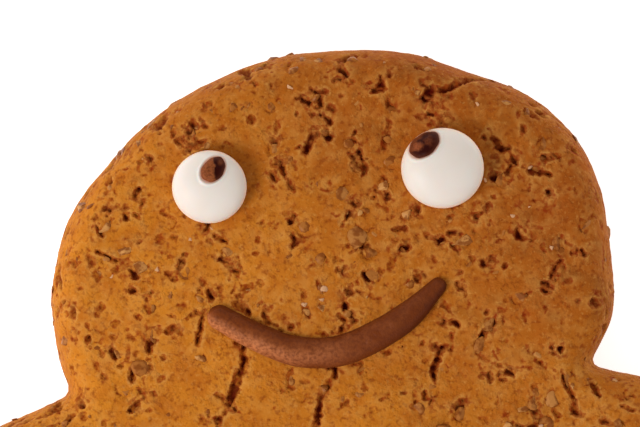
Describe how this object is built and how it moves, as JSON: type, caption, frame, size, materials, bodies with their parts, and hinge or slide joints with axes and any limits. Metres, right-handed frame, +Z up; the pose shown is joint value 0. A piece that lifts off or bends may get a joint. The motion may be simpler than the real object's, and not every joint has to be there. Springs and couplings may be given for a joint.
{
  "type": "gingerbread man biscuit",
  "caption": "Thick gingerbread man biscuit lying face up, with piped white icing eyes, chocolate pupils and a curved chocolate smile.",
  "frame": {"origin": "on the table, under the middle of the figure's footprint", "axes": "+Z up out of the face, +Y towards the crown of the head, +X to the right as seen from above"},
  "size_m": [0.0972, 0.1108, 0.0121],
  "materials": {
    "gingerbread": null,
    "white_icing": null,
    "chocolate": null,
    "sugar": "coarse demerara sugar grains baked into the crust, rounded and half clear"
  },
  "bodies": {
    "root": {"biscuit": "gingerbread", "eye_left": "white_icing", "eye_right": "white_icing", "pupil_left": "chocolate", "pupil_right": "chocolate", "smile": "chocolate"}
  },
  "joints": []
}
